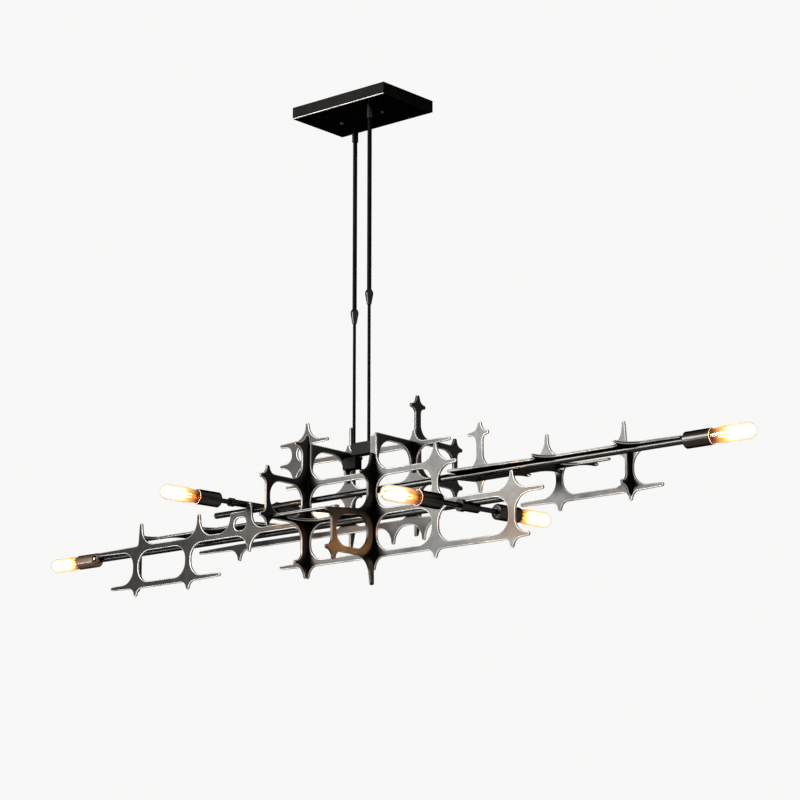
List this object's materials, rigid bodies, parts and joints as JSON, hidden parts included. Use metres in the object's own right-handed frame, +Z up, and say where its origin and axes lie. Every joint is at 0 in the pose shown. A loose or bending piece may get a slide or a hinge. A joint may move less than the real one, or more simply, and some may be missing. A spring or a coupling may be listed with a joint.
{
  "type": "chandelier",
  "caption": "Long blackened iron chandelier: thorned plate lattices and level tubes with bare tubular lamps, hung from a ceiling canopy on telescopic rods.",
  "frame": {"origin": "middle of the canopy's ceiling face, between the two ceiling bolts", "axes": "+X along the chandelier towards the lamp of the front tube, +Y away from the viewer of the picture, +Z up"},
  "size_m": [1.544, 0.3971, 0.817],
  "materials": {
    "black_iron": "satin blackened iron plate with a worn sheen",
    "socket_iron": "satin black turned steel",
    "black_paint": "satin black paint",
    "zinc_steel": "zinc-plated steel",
    "lampholder": "moulded insulating body",
    "bulb_cap": "thin pressed brass",
    "bulb_glass": "clear blown glass",
    "filament": "glowing wire on a glass stem"
  },
  "bodies": {
    "ceiling_mount": {"canopy_cover": "black_paint", "mounting_strap": "zinc_steel", "canopy_screws": "black_paint", "rod_collars": "black_paint", "rod_locknuts": "zinc_steel", "upper_rod_front": "black_paint", "upper_rod_back": "black_paint", "rod_couplers": "black_paint"},
    "lamp_body": {"arm_fins": "black_iron", "back_lattice": "black_iron", "cross_hub_back": "black_iron", "cross_hub_front": "black_iron", "cross_rod_back": "black_iron", "cross_rod_front": "black_iron", "cross_web_left": "black_iron", "cross_web_right": "black_iron", "far_wing_left": "black_iron", "far_wing_right": "black_iron", "front_lattice": "black_iron", "hanger_bar_back": "black_iron", "hanger_bar_front": "black_iron", "lampholder_inserts": "lampholder", "left_arm_lattice": "black_iron", "left_side_flange": "black_iron", "left_tube_flange": "black_iron", "lower_rod_back": "black_paint", "lower_rod_front": "black_paint", "main_tube_back": "black_iron", "main_tube_front": "black_iron", "near_shelf": "black_iron", "near_wing_left": "black_iron", "near_wing_right": "black_iron", "right_arm_lattice": "black_iron", "right_side_flange": "black_iron", "right_tube_flange": "black_iron", "socket_back_far": "socket_iron", "socket_back_near": "socket_iron", "socket_front_far": "socket_iron", "socket_front_near": "socket_iron", "socket_left_end": "socket_iron", "socket_right_end": "socket_iron"},
    "bulb_right_end": {"bulb_cap_right_end": "bulb_cap", "bulb_glass_right_end": "bulb_glass", "bulb_filament_right_end": "filament"},
    "bulb_left_end": {"bulb_cap_left_end": "bulb_cap", "bulb_glass_left_end": "bulb_glass", "bulb_filament_left_end": "filament"},
    "bulb_front_near": {"bulb_cap_front_near": "bulb_cap", "bulb_glass_front_near": "bulb_glass", "bulb_filament_front_near": "filament"},
    "bulb_front_far": {"bulb_cap_front_far": "bulb_cap", "bulb_glass_front_far": "bulb_glass", "bulb_filament_front_far": "filament"},
    "bulb_back_near": {"bulb_cap_back_near": "bulb_cap", "bulb_glass_back_near": "bulb_glass", "bulb_filament_back_near": "filament"},
    "bulb_back_far": {"bulb_cap_back_far": "bulb_cap", "bulb_glass_back_far": "bulb_glass", "bulb_filament_back_far": "filament"}
  },
  "joints": [
    {"name": "height_slide", "type": "slide", "parent": "ceiling_mount", "child": "lamp_body", "axis": [0, 0, 1], "range_m": [0, 0.2]},
    {"name": "bulb_right_end_screw", "type": "hinge", "parent": "lamp_body", "child": "bulb_right_end", "pos_m": [0.653, -0.042, -0.665], "axis": [1, 0, 0], "continuous": true},
    {"name": "bulb_left_end_screw", "type": "hinge", "parent": "lamp_body", "child": "bulb_left_end", "pos_m": [-0.653, 0.042, -0.689], "axis": [-1, 0, 0], "continuous": true},
    {"name": "bulb_front_near_screw", "type": "hinge", "parent": "lamp_body", "child": "bulb_front_near", "pos_m": [0.2595, -0.049, -0.715], "axis": [-0.1045, -0.9945, 0], "continuous": true},
    {"name": "bulb_front_far_screw", "type": "hinge", "parent": "lamp_body", "child": "bulb_front_far", "pos_m": [0.2595, -0.049, -0.715], "axis": [0.1045, 0.9945, 0], "continuous": true},
    {"name": "bulb_back_near_screw", "type": "hinge", "parent": "lamp_body", "child": "bulb_back_near", "pos_m": [-0.212, -0.042, -0.6545], "axis": [-0.1045, -0.9945, 0], "continuous": true},
    {"name": "bulb_back_far_screw", "type": "hinge", "parent": "lamp_body", "child": "bulb_back_far", "pos_m": [-0.212, -0.042, -0.6545], "axis": [0.1045, 0.9945, 0], "continuous": true}
  ]
}
